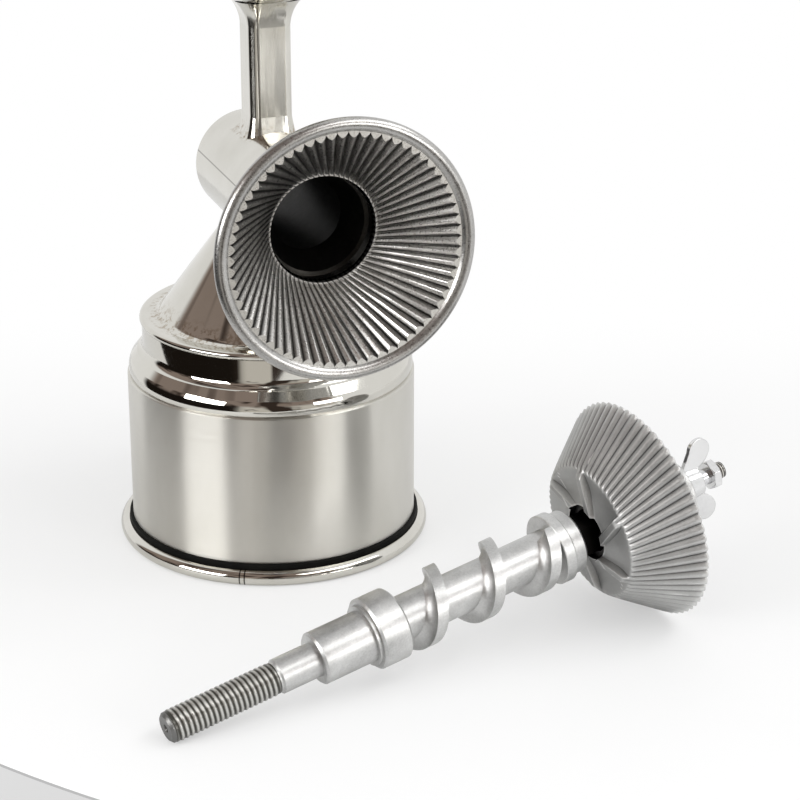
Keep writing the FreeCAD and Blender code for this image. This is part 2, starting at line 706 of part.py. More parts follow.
def flight_section(root):
    """Section of the flight: a long hollow flank towards the tail and a steep one ahead."""
    crest = FLIGHT_CREST / 2
    foot, heel = -crest - FLIGHT_FILLET, crest + FLIGHT_HEEL
    edges = [Part.LineSegment(Vector(root, 0, foot), Vector(root, 0, heel)).toShape(),
             flank(root, heel, crest),
             Part.LineSegment(Vector(FLIGHT_R, 0, crest), Vector(FLIGHT_R, 0, -crest)).toShape(),
             flank(root, foot, -crest)]
    return Part.Wire(Part.__sortEdges__(edges))


def flights():
    """Left-hand helical flight from inside the collar, and its level run-out into the end ring."""
    start = COLLAR_END - FLIGHT_SUNK
    root = CORE_R - FLIGHT_ROOT
    section = flight_section(root)
    spine = Part.makeHelix(FLIGHT_PITCH, FLIGHT_END - start, root, 0, True)
    climb = Part.Wire(spine.Edges).makePipeShell([section], True, True)
    climb.translate(Vector(0, 0, start))
    run_out = Part.Face(section).revolve(ORIGIN, UP, -FLIGHT_RUN_OUT)
    run_out.translate(Vector(0, 0, FLIGHT_END))
    # The crest stands uppermost, on the side of -X, at FLIGHT_TOP.
    climb.rotate(ORIGIN, UP, 180 + 360 * (FLIGHT_TOP - start) / FLIGHT_PITCH)
    run_out.rotate(ORIGIN, UP, 180 + 360 * (FLIGHT_TOP - FLIGHT_END) / FLIGHT_PITCH)
    return [climb, run_out]


def auger():
    ring_r = FLIGHT_R + 0.1
    ring_end = END_RING + END_RING_WIDE
    end_start = ring_end + END_GROOVE
    outline = [(0, 0), (TAIL_R - 0.9, 0), (TAIL_R, 0.9), (TAIL_R, THREAD_END), (SHANK_R, THREAD_END + 0.6),
               (SHANK_R, TAIL_NECK), (JOURNAL_R - 0.8, TAIL_NECK),
               (JOURNAL_R, TAIL_NECK + 0.8), (JOURNAL_R, JOURNAL_END - 1.2), (GROOVE_R, JOURNAL_END - 1.2),
               (GROOVE_R, JOURNAL_END), (COLLAR_R - 0.8, JOURNAL_END), (COLLAR_R, JOURNAL_END + 0.8),
               (COLLAR_R, COLLAR_END - 0.8), (COLLAR_R - 0.8, COLLAR_END), (CORE_R + 1.2, COLLAR_END),
               arc((CORE_R + 0.35, COLLAR_END + 0.35), (CORE_R, COLLAR_END + 1.2)),
               (CORE_R, END_RING), (ring_r - 0.3, END_RING), (ring_r, END_RING + 0.3),
               (ring_r, ring_end - 0.3), (ring_r - 0.3, ring_end),
               (END_R - END_GROOVE, ring_end), (END_R - END_GROOVE, end_start),
               (END_R, end_start), (END_R, AUGER_END - 1.0), (END_R - 1.0, AUGER_END), (0, AUGER_END)]
    body = turned(outline).fuse(flights())
    tang = block(-TANG_HALF, TANG_HALF, -TANG_HALF, TANG_HALF, AUGER_END - 1, AUGER_END + TANG_LENGTH)
    centre = turned([(0, -0.1), (1.6, -0.1), (0, 2.6)])
    return body.fuse(tang).cut([stud_bore(STUD_R + SEAT), centre]).removeSplitter()


def stud_bore(radius):
    """The stud, or with more radius the bore that it is fixed in."""
    return rod(radius, STUD_END - AUGER_END + STUD_SEAT, Vector(0, 0, AUGER_END - STUD_SEAT))


def burr_stud():
    stud = stud_bore(STUD_R)
    return stud.makeChamfer(0.5, [e for e in stud.Edges if len(e.Vertexes) == 1])


def cone_height(radius):
    """Height of the inner burr's crests at a radius."""
    return SMALL_END + (radius - SMALL_R) * (CONE_RIM - SMALL_END) / (CONE_R - SMALL_R)


def feed_pockets():
    """Hollows between the ribs' ends and the six-sided wall round the recess, parted by leaning blades."""
    wall = POCKET_FLAT - 1.0
    bend = RIB_END_R - POCKET_ROUND
    top = SMALL_END - POCKET_DEPTH
    brow = cone_height(RIB_END_R)
    ring = turned([(RIB_END_R, top), (RIB_END_R, brow),
                   arc((RIB_END_R - POCKET_ROUND / 3, brow + POCKET_ROUND / 4),
                       (bend, cone_height(bend) + POCKET_DEPTH)),
                   (wall, cone_height(wall) + POCKET_DEPTH), (wall, top)])
    hexagonal = hexagon(2 * POCKET_FLAT, CONE_RIM, 0)
    middle = (POCKET_FLAT + RIB_END_R) / 2
    half = 3 * BLADE_WIDE
    blades = []
    for k in range(BLADES):
        blade = block(-half, half, -BLADE_WIDE / 2, BLADE_WIDE / 2, 0, CONE_RIM)
        blade.rotate(ORIGIN, UP, BLADE_LEAN)
        blade.translate(Vector(middle, 0, 0))
        blade.rotate(ORIGIN, UP, 180 - BLADE_TURN + 360 * k / BLADES)
        blades.append(blade)
    hexagonal.rotate(ORIGIN, UP, 180 - BLADE_TURN)
    return ring.cut([hexagonal] + blades)


def inner_burr():
    """Hollow cast cone on a long hub, open at its small end round the auger's end."""
    slope = (CONE_R - SMALL_R) / (CONE_RIM - SMALL_END)
    drop = CONE_WALL * math.hypot(1, slope)
    floor = SMALL_END + RECESS_DEPTH
    web = floor + 4.5
    back = CONE_RIM + 0.8
    inside = CONE_R - drop
    web_r = inside - slope * (back - web)
    outline = [(SMALL_R, SMALL_END), (CONE_R, CONE_RIM), (CONE_R, CONE_RIM + 0.2), (CONE_R - 0.6, back),
               (inside, back), (web_r, web), (HUB_R, web), (HUB_R, HUB_END - 0.8), (HUB_R - 0.8, HUB_END),
               (STUD_R + 0.3, HUB_END), (STUD_R + 0.3, floor), (RECESS_R - 2.0, floor), (RECESS_R, SMALL_END)]
    half = TANG_HALF + 0.1
    hole = block(-half, half, -half, half, floor - 1, AUGER_END + TANG_LENGTH + TANG_HOLE_EXTRA)
    burr = turned(outline).cut([hole, feed_pockets()])
    rim = (CONE_R + slope * (back - CONE_RIM), CONE_R - RIM_VALLEY + slope * (back - CONE_RIM), back)
    end = (RIB_END_R, RIB_END_R - RIB_END_VALLEY, cone_height(RIB_END_R))
    turn = math.radians(180 - INNER_CREST + 180 / RIBS)
    return ribbed(burr, rim, end, turn, 1)


def wing():
    """One wing of the nut, in the plane of XZ, reaching out and up from the boss."""
    low = Vector(WING_BOSS_R - 1.0, 0, 1.5)
    out = Vector(WING_REACH - 3.8, 0, 6.0)
    edges = [Part.LineSegment(low, out).toShape(),
             Part.Arc(out, Vector(WING_REACH, 0, 11.2), Vector(WING_REACH - 6.3, 0, 14.6)).toShape(),
             Part.Arc(Vector(WING_REACH - 6.3, 0, 14.6), Vector(WING_BOSS_R + 0.9, 0, 12.2),
                      Vector(WING_BOSS_R - 1.0, 0, WING_BOSS - 1)).toShape(),
             Part.LineSegment(Vector(WING_BOSS_R - 1.0, 0, WING_BOSS - 1), low).toShape()]
    plate = Part.Face(Part.Wire(edges)).extrude(Vector(0, WING_THICK, 0))
    plate.translate(Vector(0, -WING_THICK / 2, 0))
    return plate


def wing_nut():
    inner = STUD_R + RUN
    boss = turned([(inner, 0), (WING_BOSS_R - 0.4, 0), (WING_BOSS_R, 0.4), (WING_BOSS_R - 0.9, WING_BOSS),
                   (inner, WING_BOSS)])
    left = wing()
    right = wing().mirror(ORIGIN, Vector(1, 0, 0))
    nut = boss.fuse([left, right]).cut(bore(inner, 0, 0)).removeSplitter()
    nut.translate(Vector(0, 0, HUB_END + RUN))
    return nut


def stop_nut():
    nut = hexagon(STOP_NUT_FLAT, STOP_NUT_THICK, STOP_NUT_AT)
    half = STOP_NUT_FLAT / 2
    end = STOP_NUT_AT + STOP_NUT_THICK
    cone = turned([(0, STOP_NUT_AT), (half, STOP_NUT_AT), (half + 0.8, STOP_NUT_AT + 0.5),
                   (half + 0.8, end - 0.5), (half, end), (0, end)])
    return nut.common(cone).cut(rod(STUD_R + SEAT, 2 * STUD_END))


# Crank

def crank_frame():
    """Where the crank lies: its hub at the origin, its arm along X."""
    return Placement(Vector(CRANK_HUB_X, CRANK_HUB_Y, 0), Rotation(UP, CRANK_TURN))


def crank_arm():
    arm = bar(ORIGIN, Vector(CRANK_LENGTH, 0, 0), CRANK_WIDE, CRANK_THICK, 0)
    edges = [e for e in arm.Edges if abs(e.BoundBox.ZLength) < 0.01]
    arm = arm.makeFillet(1.0, edges)
    hub = turned([(0, 0), (CRANK_HUB_R, 0), (CRANK_HUB_R, CRANK_HUB - 1), (CRANK_HUB_R - 1, CRANK_HUB),
                  (0, CRANK_HUB)])
    arm = arm.fuse(hub)
    arm = arm.cut(rod(TAIL_R + RUN, CRANK_HUB + 2, Vector(0, 0, -1)))
    arm = arm.cut(rod(SPINDLE_R + SEAT, 20, Vector(CRANK_LENGTH, 0, -5)))
    return arm.removeSplitter()


def knob_spindle():
    """Shouldered spindle with a head over the knob, riveted in the arm's end."""
    seat = CRANK_THICK + SEAT
    collar = CRANK_THICK + SPINDLE_COLLAR
    top = collar + 2 * KNOB_PLAY + KNOB_LENGTH
    shaft = turned([(0, 0), (SPINDLE_R, 0), (SPINDLE_R, seat), (SPINDLE_HEAD_R, seat),
                    (SPINDLE_HEAD_R, collar), (SPINDLE_R, collar), (SPINDLE_R, top),
                    (SPINDLE_HEAD_R, top), (SPINDLE_HEAD_R, top + SPINDLE_HEAD - 0.6),
                    (SPINDLE_HEAD_R - 0.8, top + SPINDLE_HEAD), (0, top + SPINDLE_HEAD)])
    shaft.translate(Vector(CRANK_LENGTH, 0, 0))
    return shaft


def crank_knob():
    base = CRANK_THICK + SPINDLE_COLLAR + KNOB_PLAY
    top = base + KNOB_LENGTH
    bore = SPINDLE_R + RUN
    knob = turned([(bore, base), (KNOB_R - 4.0, base),
                   arc((KNOB_R - 3.0, base + 0.6), (KNOB_R - 2.6, base + 2)),
                   arc((KNOB_R, base + KNOB_LENGTH * 0.55), (KNOB_R - 2.2, top - 4)),
                   arc((KNOB_R - 3.2, top - 1.0), (KNOB_R - 5.5, top)), (bore, top)])
    knob.translate(Vector(CRANK_LENGTH, 0, 0))
    return knob


MILL = [base_shell, top_plate, base_ring, suction_pad, carrier_plate, guide_bush, shaft_bracket,
        bracket_screws, pull_rod, pad_plate, return_spring, cam, lever_shaft, shaft_bush, lever,
        lever_grip, lever_nut, pedestal, barrel, rear_bush, feed_sleeve, hopper_neck, hopper_bowl, outer_burr]
AUGER_SET = [auger, burr_stud, inner_burr, wing_nut, stop_nut]
CRANK = [crank_arm, knob_spindle, crank_knob]


def main():
    os.makedirs("parts", exist_ok=True)
    groups = [(MILL, Placement()), (AUGER_SET, auger_frame()), (CRANK, crank_frame())]
    for makers, frame in groups:
        for make in makers:
            shape = placed(make(), frame)
            name = make.__name__
            shape.exportStep("parts/" + name + ".step")
            print(name, "solids", len(shape.Solids), "volume", round(shape.Volume, 1),
                  "valid", shape.isValid())


main()
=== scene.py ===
import json
import math

import bpy
from mathutils import Matrix, Vector


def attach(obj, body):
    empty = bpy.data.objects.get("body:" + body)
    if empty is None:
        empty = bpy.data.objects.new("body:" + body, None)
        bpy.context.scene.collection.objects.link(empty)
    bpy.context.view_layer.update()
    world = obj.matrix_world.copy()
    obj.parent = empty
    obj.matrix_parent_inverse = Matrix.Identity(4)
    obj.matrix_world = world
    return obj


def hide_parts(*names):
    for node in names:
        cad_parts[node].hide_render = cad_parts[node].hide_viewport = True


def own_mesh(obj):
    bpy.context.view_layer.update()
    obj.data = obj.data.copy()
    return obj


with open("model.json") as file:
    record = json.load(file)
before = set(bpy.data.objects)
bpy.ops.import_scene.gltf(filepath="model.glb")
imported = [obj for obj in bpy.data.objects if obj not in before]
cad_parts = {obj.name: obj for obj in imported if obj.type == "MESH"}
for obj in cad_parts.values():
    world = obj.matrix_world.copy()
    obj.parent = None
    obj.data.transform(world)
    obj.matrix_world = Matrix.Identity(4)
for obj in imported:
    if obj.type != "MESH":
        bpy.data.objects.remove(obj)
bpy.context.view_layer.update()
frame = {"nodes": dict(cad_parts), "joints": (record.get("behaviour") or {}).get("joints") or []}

# The mill stands on the table at z = 0, its barrel pointing along -Y. Lengths are in metres,
# but in millimetres where a comment says so.
MM = 0.001
NODES = frame["nodes"]
JOINTS = {joint["name"]: joint for joint in frame["joints"]}

# Camera, fitted to the photograph
CAMERA_AT = Vector((-0.26097, -0.86056, 0.41087))
CAMERA_AIM = Vector((0.04657, -0.01698, 0.05153))
CAMERA_LENS = 112.5
CAMERA_SENSOR = 36.0
AWAY = Vector((0.3425, 0.9395, 0.0))      # level direction from the camera to the mill

# Table
TABLE_AT = Vector((0.231, 0.105, 0.0))
TABLE_R = 0.45
TABLE_RIM = 0.0011                        # radius of the rounded rim
TABLE_THICK = 0.02
TABLE_TONE = (0.84, 0.86)
# tone of the table's side, a painted shade
TABLE_SIDE_SHADE = 0.56
TABLE_RIM_SHADE = 0.34                         # painted shade: a dark line under the rim
TABLE_FADE = (0.0, 0.24)                  # where the table's tone runs into the backdrop's white
TABLE_WHITE = 0.45                        # share of white that the camera sees on the near table

# Backdrop and the room that mirrors in the steel
FILL = 0.72                               # world's strength for everything but gloss
BACKDROP = (0.98, 0.98, 0.98)
ROOM_BLACK = (0.012, 0.009, 0.007)
ROOM_DARK = (0.045, 0.032, 0.026)
ROOM_BROWN = (0.30, 0.24, 0.21)
ROOM_GREY = (0.66, 0.63, 0.58)
ROOM_MIDDLE = -30                         # bearing of the room's middle
ROOM_BLACK_SIDE = -85                     # bearing of its black side
CLUTTER = 2.3                             # scale of its light and dark patches
LAMP_AIM = Vector((0, 0, 0.08))

# The mill
BARREL_Z = 140.8 * MM
PLATE_Z = 89.0 * MM
CREASE_Z = 66.6 * MM
CONE_FOOT_R = 43.0 * MM
NECK_STAIN = 8.6 * MM                     # where the stain round the hopper neck's foot is strongest
BARREL_SEAM = 163.0                       # degrees from +X towards +Z
RING_SEAM = -119.0                        # degrees from +X
RING_SEAM_HALF = 0.9                      # from the seam's middle to each of its two lines

# Outer burr
RIBS = 66                                 # on both burrs
MOUTH_CREST = 4.2                         # where one crest stands, degrees from +X to +Z
MOUTH_R = 40.0 * MM                       # radius of the crests at the mouth
MOUTH_Y = -91.9 * MM                      # machined ends of the ribs
THROAT_R = 19.8 * MM                      # radius of the crests at the throat
THROAT_Y = -66.5 * MM
GROOVE_FLOOR = 2.3 * MM                   # the grooves stay within this distance of the crests
RIM_TONE = 0.68                           # how worn the burr's plain outside looks

# Auger, its tail's thread and the stud's, with stations from the tail's tip
AUGER_TIP = Vector(JOINTS["auger_turn"]["pos_m"])
AUGER_AXIS = Vector(JOINTS["auger_turn"]["axis"]).normalized()
TAIL_R = 5.4 * MM
THREAD_START = 1.4 * MM
THREAD_END = 41.4 * MM
THREAD_PITCH = 1.87 * MM
THREAD_HIGH = 0.38 * MM
TANG_START = 163.35 * MM
CENTRE_HOLE_SHADE = 1.0 * MM                    # radius of the black dot painted as the shade of the drilled centre in the tail's end
STUD_R = 3.0 * MM
STUD_START = 228.0 * MM
STUD_END = 231.2 * MM
STUD_PITCH = 1.0 * MM
STUD_HIGH = 0.16 * MM
THREAD_SIDES = 64
THREAD_ROWS = 12                          # rows of the mesh for each turn
FLANK_STEEP = 3.1                         # slope of a thread's flank, in heights a pitch
ROOT_WIDE = 0.35                          # flat at its root, in heights of flank left out

# Cone burr, in millimetres along and about the auger's axis
RIB_LEAN = 10.2                           # by how much the line of a rib passes the axis, on both burrs
RIB_CREST = -2.3                          # where one crest stands at the rim, degrees from the uppermost
RIB_STEPS = 12                            # columns of the mesh for each rib
RIB_DEEP = 1.25                           # depth of the grooves at the rim
RIB_END_DEEP = 0.85                       # and at the nose
RIB_SHARP = 1.74                          # power that rounds the crests and sharpens the grooves
CONE_R = 41.0
CONE_BACK = 193.9                         # back edge of the rim
CONE_BEVEL = 0.6
CONE_TOUCH = 193.1                        # where the rim rests on the table
CONE_SLOPE = 0.7322                       # radius gained for each millimetre along the axis
CONE_ROWS = 10
CONE_INSIDE = 35.3                        # radius of the hollow back at its mouth
NOSE_R = 25.2                             # where the ribs end
NOSE_AT = 171.5
NOSE_HOLE = 10.5                          # radius of the hole in the nose
NOSE_DOME = 1.0                           # how far the face stands out towards the hole
NOSE_ROUND = 1.3                          # rounding between the ribs and the nose's face
NOSE_BEND = 2.5                           # how far outside the ribs' end the nose's rows begin
NOSE_ROWS = 44
RIB_FADE = (2.6, 1.0)                     # how far inside and outside of the ribs' end the grooves run out
BLADES = 6
BLADE_TURN = -2.0                         # where one blade meets the ribs, degrees from the uppermost
BLADE_OFF = 7.1                           # by how much the line of a blade passes the axis
BLADE_HALF = 1.1                          # half a blade's width
BLADE_FLANK = 0.9                         # width of its sloping side
BLADE_HIGH = 1.5
BLADE_RISE = 0.2                          # share of the face over which a blade rises from the ribs
DISH = 1.2                                # depth of the pockets between the blades
HOLE_FLOOR = 172.5
BORE_R = 8.2                              # bore for the auger's tang
BORE_FLOOR = 181.0
STUD_HOLE = 3.3
HUB_R = 12.0
HUB_BACK = 211.5
HUB_BEVEL = 0.8
WEB_BACK = 176.5                          # back of the web between the hub and the cone
WEB_R = 21.8
WEB_ROUND = 0.4
WEB_RISE = (1.4, 0.5)                     # bend from the web into the cone's inside: out and back
CONE_LIP = 0.4                            # straight stretch of the inside at the hollow's mouth
CREASE_ANGLE = 38                         # degrees, above which the mesh is shaded sharp


# Node helpers

def new_material(name):
    """A material, its node tree and principled shader, and coordinates that stay with the piece."""
    material = bpy.data.materials.new(name)
    material.use_nodes = True
    tree = material.node_tree
    tree.nodes.clear()
    output = tree.nodes.new("ShaderNodeOutputMaterial")
    shader = tree.nodes.new("ShaderNodeBsdfPrincipled")
    tree.links.new(shader.outputs["BSDF"], output.inputs["Surface"])
    return material, tree, shader, tree.nodes.new("ShaderNodeTexCoord").outputs["Object"]


def stretched(tree, vector, scale):
    """Coordinates scaled by three factors."""
    mapping = tree.nodes.new("ShaderNodeMapping")
    mapping.inputs["Scale"].default_value = scale
    tree.links.new(vector, mapping.inputs["Vector"])
    return mapping.outputs["Vector"]


def noise(tree, vector, scale, detail=4.0, roughness=0.55):
    """Noise from 0 to 1, its scale in features a metre."""
    node = tree.nodes.new("ShaderNodeTexNoise")
    node.inputs["Scale"].default_value = scale
    node.inputs["Detail"].default_value = detail
    node.inputs["Roughness"].default_value = roughness
    tree.links.new(vector, node.inputs["Vector"])
    return node.outputs["Fac"]


def ramp(tree, value, stops):
    """Colours or greys by value: stops of (position, colour)."""
    node = tree.nodes.new("ShaderNodeValToRGB")
    elements = node.color_ramp.elements
    while len(elements) < len(stops):
        elements.new(0.5)
    for element, (position, colour) in zip(elements, stops):
        element.position = position
        element.color = (*colour, 1.0) if isinstance(colour, tuple) else (colour, colour, colour, 1.0)
    tree.links.new(value, node.inputs["Fac"])
    return node.outputs["Color"]


def spread(tree, value, low, high, start=0.3, end=0.7, smooth=False):
    """Map a range of a value, by default the middle of a noise, to the range from low to high."""
    node = tree.nodes.new("ShaderNodeMapRange")
    if smooth:
        node.interpolation_type = "SMOOTHSTEP"
    node.inputs["From Min"].default_value = start
    node.inputs["From Max"].default_value = end
    node.inputs["To Min"].default_value = low
    node.inputs["To Max"].default_value = high
    tree.links.new(value, node.inputs["Value"])
    return node.outputs["Result"]


def sums(tree, operation, *values):
    """A maths node on numbers or sockets."""
    node = tree.nodes.new("ShaderNodeMath")
    node.operation = operation
    for socket, value in zip(node.inputs, values):
        if isinstance(value, (int, float)):
            socket.default_value = value
        else:
            tree.links.new(value, socket)
    return node.outputs["Value"]


def vectors(tree, operation, *values):
    """A vector maths node on constants or sockets."""
    node = tree.nodes.new("ShaderNodeVectorMath")
    node.operation = operation
    for socket, value in zip(node.inputs, values):
        if isinstance(value, (tuple, Vector)):
            socket.default_value = tuple(value)
        else:
            tree.links.new(value, socket)
    return node.outputs["Value" if operation in ("DOT_PRODUCT", "LENGTH") else "Vector"]


def along(tree, vector, axis):
    """How far a point or direction goes along an axis."""
    return vectors(tree, "DOT_PRODUCT", vector, axis)


def apart(tree, vector):
    """The three coordinates of a vector."""
    node = tree.nodes.new("ShaderNodeSeparateXYZ")
    tree.links.new(vector, node.inputs["Vector"])
    return node.outputs


def radius_of(tree, first, second):
    """Distance from an axis, from the two coordinates across it."""
    squares = [sums(tree, "MULTIPLY", value, value) for value in (first, second)]
    return sums(tree, "SQRT", sums(tree, "ADD", *squares))


def turn_of(tree, first, second):
    """The angle of a point about an axis, in degrees, from the two coordinates across it."""
    return sums(tree, "MULTIPLY", sums(tree, "ARCTAN2", second, first), 180 / math.pi)


def about_auger(tree, where):
    """Station along the auger from its tail's tip, and distance from its axis."""
    arm = vectors(tree, "SUBTRACT", where, AUGER_TIP)
    across = vectors(tree, "CROSS_PRODUCT", arm, AUGER_AXIS)
    return along(tree, arm, AUGER_AXIS), vectors(tree, "LENGTH", across)


def blend(tree, factor, first, second):
    """Colour between two, constants or sockets."""
    node = tree.nodes.new("ShaderNodeMix")
    node.data_type = "RGBA"
    tree.links.new(factor, node.inputs["Factor"])
    for socket, value in ((node.inputs[6], first), (node.inputs[7], second)):
        if isinstance(value, tuple):
            socket.default_value = (*value, 1.0)
        else:
            tree.links.new(value, socket)
    return node.outputs[2]


def bump(tree, shader, height, distance):
    """Bump by a height from 0 to 1 over a distance in metres: its node."""
    node = tree.nodes.new("ShaderNodeBump")
    node.inputs["Distance"].default_value = distance
    tree.links.new(height, node.inputs["Height"])
    tree.links.new(node.outputs["Normal"], shader.inputs["Normal"])
    return node


def near(tree, value, centre, half):
    """One at a value, falling to nothing at half its width to either side."""
    gap = sums(tree, "ABSOLUTE", sums(tree, "SUBTRACT", value, centre))
    return spread(tree, gap, 1.0, 0.0, 0.35 * half, half, True)


def metal(tree, shader, colour, roughness, bare=1.0):
    """Link a metal's colour and roughness, bare giving how metallic it is."""
    tree.links.new(colour, shader.inputs["Base Color"])
    tree.links.new(roughness, shader.inputs["Roughness"])
    shader.inputs["Metallic"].default_value = bare


def smear_upright(tree, shader, share):
    """Brushing round the upright axis, which stretches reflections along it."""
    shader.inputs["Anisotropic"].default_value = share
    shader.inputs["Anisotropic Rotation"].default_value = 0.25
    tangent = tree.nodes.new("ShaderNodeTangent")
    tangent.direction_type = "RADIAL"
    tangent.axis = "Z"
    tree.links.new(tangent.outputs["Tangent"], shader.inputs["Tangent"])


# Steel, with its stains and seams

STEEL = (0.60, 0.585, 0.535)
STEEL_LIGHT = (0.68, 0.665, 0.62)
STEEL_CLOUDS = [(0.3, STEEL), (0.7, STEEL_LIGHT)]
STAIN = (0.30, 0.235, 0.16)
SEAM = (0.05, 0.045, 0.04)


def speckled(tree, where, mask, share):
    """A mask broken up by noise, more of it kept with a larger share."""
    rough = noise(tree, where, 520, 5.0, 0.65)
    return sums(tree, "MULTIPLY", mask, spread(tree, rough, 0.0, 1.0, 0.62 - share, 0.78 - share, True))


def pedestal_marks(tree, where):
    """Brazing stain round the cone's foot, and no seam."""
    height = apart(tree, where)["Z"]
    foot = spread(tree, height, 1.0, 0.0, PLATE_Z + 1.2 * MM, PLATE_Z + 7.5 * MM, True)
    return speckled(tree, where, foot, 0.15), None


def plate_marks(tree, where):
    """Brazing stain on the lid round the cone's foot, and no seam."""
    x, y, _ = apart(tree, where)
    foot = near(tree, radius_of(tree, x, y), CONE_FOOT_R + 1.0 * MM, 3.0 * MM)
    return speckled(tree, where, foot, 0.14), None


def barrel_marks(tree, where):
    """Stain round the hopper neck's foot, and a faint seam along the barrel."""
    x, y, z = apart(tree, where)
    turn = turn_of(tree, x, sums(tree, "SUBTRACT", z, BARREL_Z))
    seam = sums(tree, "MULTIPLY", near(tree, turn, BARREL_SEAM, 1.1), 0.55)
    reach = sums(tree, "MAXIMUM", sums(tree, "ABSOLUTE", x), sums(tree, "ABSOLUTE", y))
    foot = sums(tree, "MULTIPLY", near(tree, reach, NECK_STAIN, 3.0 * MM),
                spread(tree, z, 0.0, 1.0, BARREL_Z, BARREL_Z + 8 * MM))
    return speckled(tree, where, foot, 0.14), seam


def ring_marks(tree, where):
    """Stain at the butt joint of the wire ring, and its two lines."""
    x, y, _ = apart(tree, where)
    turn = turn_of(tree, x, y)
    lines = [near(tree, turn, RING_SEAM + side * RING_SEAM_HALF, 0.35) for side in (-1, 1)]
    return speckled(tree, where, near(tree, turn, RING_SEAM, 2.2), 0.1), sums(tree, "MAXIMUM", *lines)


def polished_steel(name, rough=(0.03, 0.07), marks=None):
    """Polished nickel-grey steel: clouds, hairlines, and the stain and seam that marks() gives."""
    material, tree, shader, where = new_material(name)
    cloud = noise(tree, where, 45, 5.0)
    hair = noise(tree, stretched(tree, where, (1, 1, 14)), 420, 3.0)
    colour = ramp(tree, cloud, STEEL_CLOUDS)
    matt = spread(tree, sums(tree, "MULTIPLY", cloud, hair), *rough, 0.1, 0.45)
    if marks:
        stain, seam = marks(tree, where)
        stain = sums(tree, "MULTIPLY", stain, 0.7)
        colour = blend(tree, stain, colour, STAIN)
        matt = sums(tree, "MAXIMUM", matt, sums(tree, "MULTIPLY", stain, 0.22))
        if seam:
            colour = blend(tree, seam, colour, SEAM)
    metal(tree, shader, colour, matt)
    bump(tree, shader, noise(tree, where, 38, 2.0), 0.02 * MM)
    return material


def drum_steel():
    """The drum: turned wall that smears its reflections upright, and a mirror shoulder above the crease."""
    material, tree, shader, where = new_material("drum_steel")
    height = apart(tree, where)["Z"]
    cloud = noise(tree, stretched(tree, where, (1, 1, 0.5)), 30, 5.0)
    wall = spread(tree, height, 1.0, 0.0, CREASE_Z - 0.4 * MM, CREASE_Z + 0.2 * MM)
    hair = noise(tree, stretched(tree, where, (1, 1, 60)), 60, 4.0, 0.7)
    matt = sums(tree, "ADD", 0.035, sums(tree, "MULTIPLY", wall, spread(tree, hair, 0.24, 0.31)))
    metal(tree, shader, ramp(tree, cloud, STEEL_CLOUDS), matt)
    smear_upright(tree, shader, 0.97)
    bump(tree, shader, noise(tree, stretched(tree, where, (1, 1, 0.3)), 42, 2.0), 0.03 * MM)
    return material


def drawn_steel():
    """The hopper's neck, stained above its foot: drawn tube, whose fine waves along it smear upright."""
    material, tree, shader, where = new_material("neck_steel")
    cloud = noise(tree, where, 45, 5.0)
    height = apart(tree, where)["Z"]
    foot = spread(tree, height, 1.0, 0.0, BARREL_Z + 19 * MM, BARREL_Z + 25 * MM, True)
    colour = blend(tree, speckled(tree, where, foot, 0.12), ramp(tree, cloud, STEEL_CLOUDS), STAIN)
    metal(tree, shader, colour, spread(tree, cloud, 0.13, 0.18))
    smear_upright(tree, shader, 0.95)
    bump(tree, shader, noise(tree, stretched(tree, where, (1, 1, 0.05)), 170, 2.0), 0.22 * MM)
    return material


# Castings, small parts and plastics

RIB_END_STEEL = (0.74, 0.73, 0.70)
# painted shade for the auger's tang, which lies in the gap inside the cone burr
TANG_SHADE = (0.012, 0.011, 0.010)


def fine_grain(tree, where, scale=1300):
    """Grain of a casting."""
    return noise(tree, where, scale, 3.0, 0.7)


def casting_tone(tree, where, fine):
    """Clouds with some of the grain in them."""
    cloud = noise(tree, where, 90, 6.0)
    return sums(tree, "ADD", sums(tree, "MULTIPLY", cloud, 0.6), sums(tree, "MULTIPLY", fine, 0.4))


def satin_metal(name, dark, light, rough, relief=0.03 * MM, edge=0.0):
    """Satin metal: fine grain, slight clouds of tone, and edges softened over a distance."""
    material, tree, shader, where = new_material(name)
    fine = fine_grain(tree, where, 900)
    tone = casting_tone(tree, where, fine)
    metal(tree, shader, ramp(tree, tone, [(0.3, dark), (0.7, light)]), spread(tree, fine, *rough))
    grain = bump(tree, shader, fine, relief)
    if edge:
        bevel = tree.nodes.new("ShaderNodeBevel")
        bevel.inputs["Radius"].default_value = edge
        tree.links.new(bevel.outputs["Normal"], grain.inputs["Normal"])
    return material


def edge_highlight_hollow_shade(tree, where):
    """Painted highlight: one on convex edges; painted shade: nothing in hollows."""
    geometry = tree.nodes.new("ShaderNodeNewGeometry")
    # pointiness: convex edges get the painted highlight, hollows the painted shade
    return spread(tree, geometry.outputs["Pointiness"], 0.0, 1.0, 0.44, 0.545)


